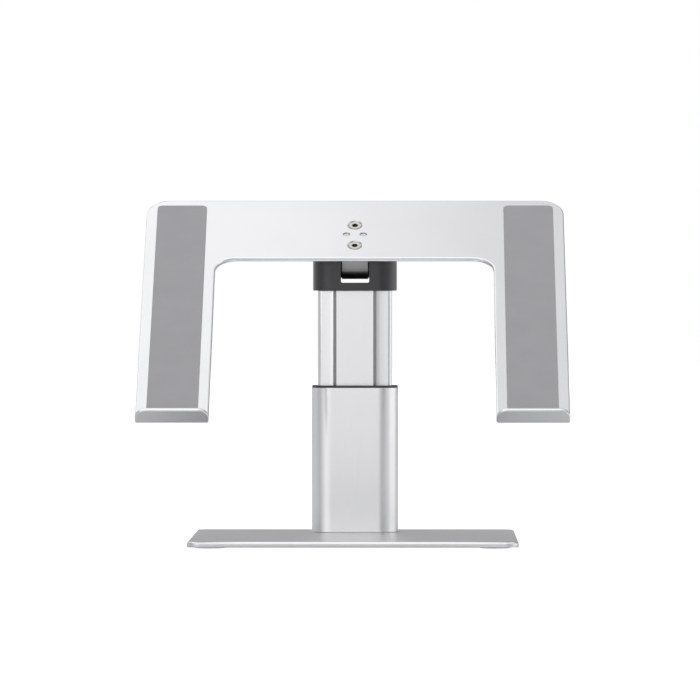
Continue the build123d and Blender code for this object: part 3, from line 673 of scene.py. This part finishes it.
def screw_tree():
    """A countersunk hex socket screw: cone head with a rim, threaded shank and a chamfered tip."""
    tree, size, end = new_tree("countersunk_screw", SCREW_INPUTS)
    bottom = vector(tree, 0.0, 0.0, calc(tree, "MULTIPLY", size["Length"], -1.0))
    axis = wire(tree, "GeometryNodeCurvePrimitiveLine", {"End": bottom})
    rings = {"Curve": axis.outputs[0], "Count": size["Rings"]}
    steps = wire(tree, "GeometryNodeResampleCurve", rings)
    where = wire(tree, "GeometryNodeInputPosition").outputs[0]
    x, y, z = parts_of(tree, where)
    depth = calc(tree, "MULTIPLY", z, -1.0)

    # the outline's radius at each depth
    rim_start = calc(tree, "SUBTRACT", size["Head Radius"], size["Rim"])
    rim = calc(tree, "ADD", rim_start, depth)
    cone = calc(tree, "SUBTRACT", calc(tree, "ADD", size["Head Radius"], size["Rim"]), depth)
    crest = calc(tree, "PINGPONG", depth, calc(tree, "MULTIPLY", size["Pitch"], 0.5))
    cut_in = calc(tree, "MULTIPLY", crest, THREAD_DEPTH_SHARE)
    thread = calc(tree, "SUBTRACT", size["Shank Radius"], cut_in)
    to_tip = calc(tree, "SUBTRACT", size["Length"], depth)
    tip = calc(tree, "ADD", calc(tree, "MULTIPLY", size["Shank Radius"], TIP_SHARE), to_tip)
    shank = calc(tree, "MINIMUM", thread, tip)
    radius = calc(tree, "MINIMUM", rim, calc(tree, "MAXIMUM", cone, shank))
    circle = wire(tree, "GeometryNodeCurvePrimitiveCircle", {"Resolution": SCREW_SIDES, "Radius": 1.0})
    sweep = {"Curve": steps.outputs[0], "Profile Curve": circle.outputs[0]}
    sweep |= {"Scale": radius, "Fill Caps": True}
    turned = wire(tree, "GeometryNodeCurveToMesh", sweep)

    # the socket is cut by a hexagon, with a cone at its mouth
    both_ways = calc(tree, "MULTIPLY", size["Socket Depth"], 2.0)
    prism = {"Vertices": 6, "Radius": size["Socket Radius"], "Depth": both_ways}
    hexagon = wire(tree, "GeometryNodeMeshCylinder", prism)
    height, floor_radius, opening = (
        calc(tree, "MULTIPLY", size["Socket Radius"], share)
        for share in (MOUTH_HEIGHT, MOUTH_FLOOR, MOUTH_OPENING)
    )
    funnel = {"Vertices": SCREW_SIDES, "Radius Bottom": floor_radius, "Radius Top": opening}
    mouth = wire(tree, "GeometryNodeMeshCone", funnel | {"Depth": height})
    sunk_in = vector(tree, 0.0, 0.0, calc(tree, "MULTIPLY", height, -MOUTH_SINK))
    moved = {"Geometry": mouth.outputs[0], "Translation": sunk_in}
    mouth_cutter = wire(tree, "GeometryNodeTransform", moved)
    body = {"Mesh 1": turned.outputs[0]}
    cut = wire(tree, "GeometryNodeMeshBoolean", body, operation="DIFFERENCE", solver="MANIFOLD")
    for cutter in (mouth_cutter, hexagon):
        tree.links.new(cutter.outputs[0], cut.inputs["Mesh 2"])

    # painted shade: the socket's faces get the dark steel and the rim's faces a darker steel, for the
    # shade in the socket and in the gap round the head
    squares = calc(tree, "ADD", calc(tree, "MULTIPLY", x, x), calc(tree, "MULTIPLY", y, y))
    off_axis = calc(tree, "SQRT", squares)
    hole_radius = calc(tree, "MULTIPLY", size["Socket Radius"], SOCKET_REACH)
    in_hole = calc(tree, "LESS_THAN", off_axis, hole_radius)
    dark_from = calc(tree, "MULTIPLY", size["Socket Depth"], DARK_FROM)
    dark_to = calc(tree, "MULTIPLY", size["Socket Depth"], DARK_TO)
    sunk = calc(tree, "GREATER_THAN", depth, dark_from)
    shallow = calc(tree, "LESS_THAN", depth, dark_to)
    socket_faces = calc(tree, "MULTIPLY", in_hole, calc(tree, "MULTIPLY", sunk, shallow))
    rim_faces = calc(tree, "GREATER_THAN", off_axis, rim_start)
    skin = wire(tree, "GeometryNodeSetMaterial", {0: cut.outputs[0], "Material": size["Finish"]})
    for faces, finish in ((socket_faces, "Socket Shade Finish"), (rim_faces, "Rim Shade Finish")):
        paint = {0: skin.outputs[0], "Selection": faces, "Material": size[finish]}
        skin = wire(tree, "GeometryNodeSetMaterial", paint)
    turn = wire(tree, "FunctionNodeAlignRotationToVector", {"Vector": size["Outward"]}, axis="Z")
    set_out(tree, size["Spots"], skin.outputs[0], turn.outputs[0], end)
    return tree


def head_spots(node, outward, head_radius):
    """Where the heads of a group of equal screws sit, worked out from the group's own extent."""
    along = outward.cross(RIGHT)
    top = reach(node, outward)[1]
    lines = []
    for direction in (RIGHT, along):
        low, high = reach(node, direction)
        if high - low > APART * head_radius:
            lines.append((low + head_radius, high - head_radius))
        else:
            lines.append(((low + high) / 2,))
    return [RIGHT * a + along * b + outward * top for a in lines[0] for b in lines[1]]


def build_screws():
    tree = screw_tree()
    for name, node, outward, head, shank in SCREWS:
        low, high = reach(node, outward)
        finish = finish_of(node)
        values = {
            "Outward": outward,
            "Head Radius": HEAD_SHARE * head * MM,
            "Shank Radius": (shank - SHANK_GAP) * MM,
            "Length": high - low,
            "Rim": RIM_SHARE * head * MM,
            "Pitch": PITCH_SHARE * shank * MM,
            "Socket Radius": SOCKET_HALF_WIDTH * shank * HEX_CORNER * MM,
            "Socket Depth": SOCKET_DEPTH_SHARE * shank * MM,
            "Rings": int((high - low) / (RING_SHARE * shank * MM)),
            "Finish": finish,
            # painted shade in the socket and round the head's rim
            "Socket Shade Finish": BLACK_OXIDE_AND_SOCKET_SHADE_STEEL,
            "Rim Shade Finish": finish if finish == BLACK_OXIDE_AND_SOCKET_SHADE_STEEL else RIM_SHADE_STEEL,
        }
        grow_piece(name, tree, head_spots(node, outward, head * MM), values, [node])


# ---------------------------------------------------------------- rubber feet

FEET = ("foot_front_left", "foot_front_right", "foot_rear_left", "foot_rear_right")
FOOT_INPUTS = (
    ("Radius", "Float"),
    ("Height", "Float"),
    ("Ridge Pitch", "Float"),
    ("Ridge Depth", "Float"),
    ("Rim", "Float"),
    ("Finish", "Material"),
)
RIDGE_PITCH = 1.5 * MM
RIDGE_DEPTH = 0.3 * MM
FOOT_RIM = 0.3 * MM
FOOT_SIDES = 96
FOOT_SIDE_RINGS = 4
FOOT_FACE_RINGS = 60
# the ridges end this many pitches inside the edge
PLAIN_PITCHES = 1.1
# everything below this share of the height, from the middle, is sole
SOLE_SHARE = -0.49
# just over 1, so that the rounding's square root never turns negative
SAFE_ONE = 1.0001


def foot_tree():
    """A round rubber foot with a rounded rim and ring ridges on its sole."""
    tree, size, end = new_tree("ridged_foot", FOOT_INPUTS)
    counts = {"Vertices": FOOT_SIDES, "Side Segments": FOOT_SIDE_RINGS, "Fill Segments": FOOT_FACE_RINGS}
    blank = {"Radius": size["Radius"], "Depth": size["Height"]}
    disc = wire(tree, "GeometryNodeMeshCylinder", counts | blank)
    where = wire(tree, "GeometryNodeInputPosition").outputs[0]
    x, y, z = parts_of(tree, where)
    flat = vector(tree, x, y, 0.0)
    out = wire(tree, "ShaderNodeVectorMath", {0: flat}, operation="LENGTH").outputs["Value"]
    phase = calc(tree, "DIVIDE", calc(tree, "MULTIPLY", out, 2 * pi), size["Ridge Pitch"])
    wave = calc(tree, "MULTIPLY_ADD", calc(tree, "COSINE", phase), -0.5, 0.5)
    plain_edge = calc(tree, "MULTIPLY", size["Ridge Pitch"], PLAIN_PITCHES)
    inside = calc(tree, "LESS_THAN", out, calc(tree, "SUBTRACT", size["Radius"], plain_edge))
    sole = calc(tree, "LESS_THAN", z, calc(tree, "MULTIPLY", size["Height"], SOLE_SHARE))
    groove = calc(tree, "MULTIPLY", calc(tree, "MULTIPLY", wave, inside), size["Ridge Depth"])
    # near the rim the sole rises in a quarter round
    over = calc(tree, "SUBTRACT", out, calc(tree, "SUBTRACT", size["Radius"], size["Rim"]))
    share = calc(tree, "DIVIDE", calc(tree, "MAXIMUM", over, 0.0), size["Rim"])
    left_over = calc(tree, "SUBTRACT", SAFE_ONE, calc(tree, "POWER", share, 2.0))
    round_off = calc(tree, "SUBTRACT", 1.0, calc(tree, "SQRT", left_over))
    lift = calc(tree, "ADD", groove, calc(tree, "MULTIPLY", round_off, size["Rim"]))
    raised = vector(tree, 0.0, 0.0, calc(tree, "MULTIPLY", lift, sole))
    moved = {"Geometry": disc.outputs[0], "Offset": raised}
    shaped = wire(tree, "GeometryNodeSetPosition", moved)
    rubber = wire(tree, "GeometryNodeSetMaterial", {0: shaped.outputs[0], "Material": size["Finish"]})
    turn = wire(tree, "FunctionNodeEulerToRotation")
    set_out(tree, size["Spots"], rubber.outputs[0], turn.outputs[0], end)
    return tree


def build_feet():
    boxes = [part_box(node) for node in FEET]
    low, high = boxes[0]
    values = {
        "Radius": (high.x - low.x) / 2,
        "Height": high.z - low.z,
        "Ridge Pitch": RIDGE_PITCH,
        "Ridge Depth": RIDGE_DEPTH,
        "Rim": FOOT_RIM,
        "Finish": FINISHES["foot_rubber"],
    }
    grow_piece("ridged_feet", foot_tree(), [(a + b) / 2 for a, b in boxes], values, list(FEET))


# ---------------------------------------------------------------- grip pads

# from the foot up: inset from the outline and height, both in shares of the strip's height
PAD_PROFILE = (
    (0.04, 0.0),
    (0.0, 0.12),
    (0.0, 0.5),
    (0.07, 0.72),
    (0.2, 0.86),
    (0.42, 0.94),
    (0.8, 0.965),
    (2.0, 0.975),
    (5.0, 0.99),
    (9.0, 1.0),
)
# the corners tighten with the inset, by a share of it, down to a least radius
PAD_CORNER = 3.0 * MM
PAD_CORNER_SHARE = 0.4
PAD_CORNER_LEAST = 0.8 * MM
CORNER_STEPS = 10


def rounded_ring(half_width, half_length, corner):
    """Points round a rectangle with rounded corners, in its own plane."""
    ring = []
    for quarter, (side, end) in enumerate(((1, 1), (-1, 1), (-1, -1), (1, -1))):
        middle_x = side * (half_width - corner)
        middle_y = end * (half_length - corner)
        for step in range(CORNER_STEPS + 1):
            angle = (quarter + step / CORNER_STEPS) * pi / 2
            ring.append((middle_x + corner * cos(angle), middle_y + corner * sin(angle)))
    return ring


def build_pad(name, node):
    """A moulded silicone strip: a soft rounded rim and a slightly crowned top."""
    left, right = reach(node, RIGHT)
    front, rear = reach(node, TRAY_RUN)
    foot, top = reach(node, TRAY_NORMAL)
    height = top - foot
    centre_x = (left + right) / 2
    centre_u = (front + rear) / 2
    shape = bmesh.new()
    rings = []
    for inset, rise in PAD_PROFILE:
        shrink = inset * height
        corner = max(PAD_CORNER - shrink * PAD_CORNER_SHARE, PAD_CORNER_LEAST)
        outline = rounded_ring((right - left) / 2 - shrink, (rear - front) / 2 - shrink, corner)
        level = TRAY_NORMAL * (foot + rise * height)
        places = [RIGHT * (centre_x + x) + TRAY_RUN * (centre_u + u) + level for x, u in outline]
        rings.append([shape.verts.new(place) for place in places])
    for lower, upper in zip(rings, rings[1:]):
        for i in range(len(lower)):
            j = (i + 1) % len(lower)
            shape.faces.new((lower[i], lower[j], upper[j], upper[i]))
    shape.faces.new(rings[-1])
    shape.faces.new(list(reversed(rings[0])))
    bmesh.ops.remove_doubles(shape, verts=shape.verts, dist=WELD)
    mesh = bpy.data.meshes.new(name)
    write_out(shape, mesh)
    mesh.materials.append(finish_of(node))
    place_piece(name, mesh, [node])


# ---------------------------------------------------------------- the whole scene

build_studio()
dress_frame()
for name, node, width in BROKEN_EDGES:
    broken_edges(name, node, width * MM)
build_screws()
build_feet()
build_pad("left_grip_pad", "left_pad")
build_pad("right_grip_pad", "right_pad")
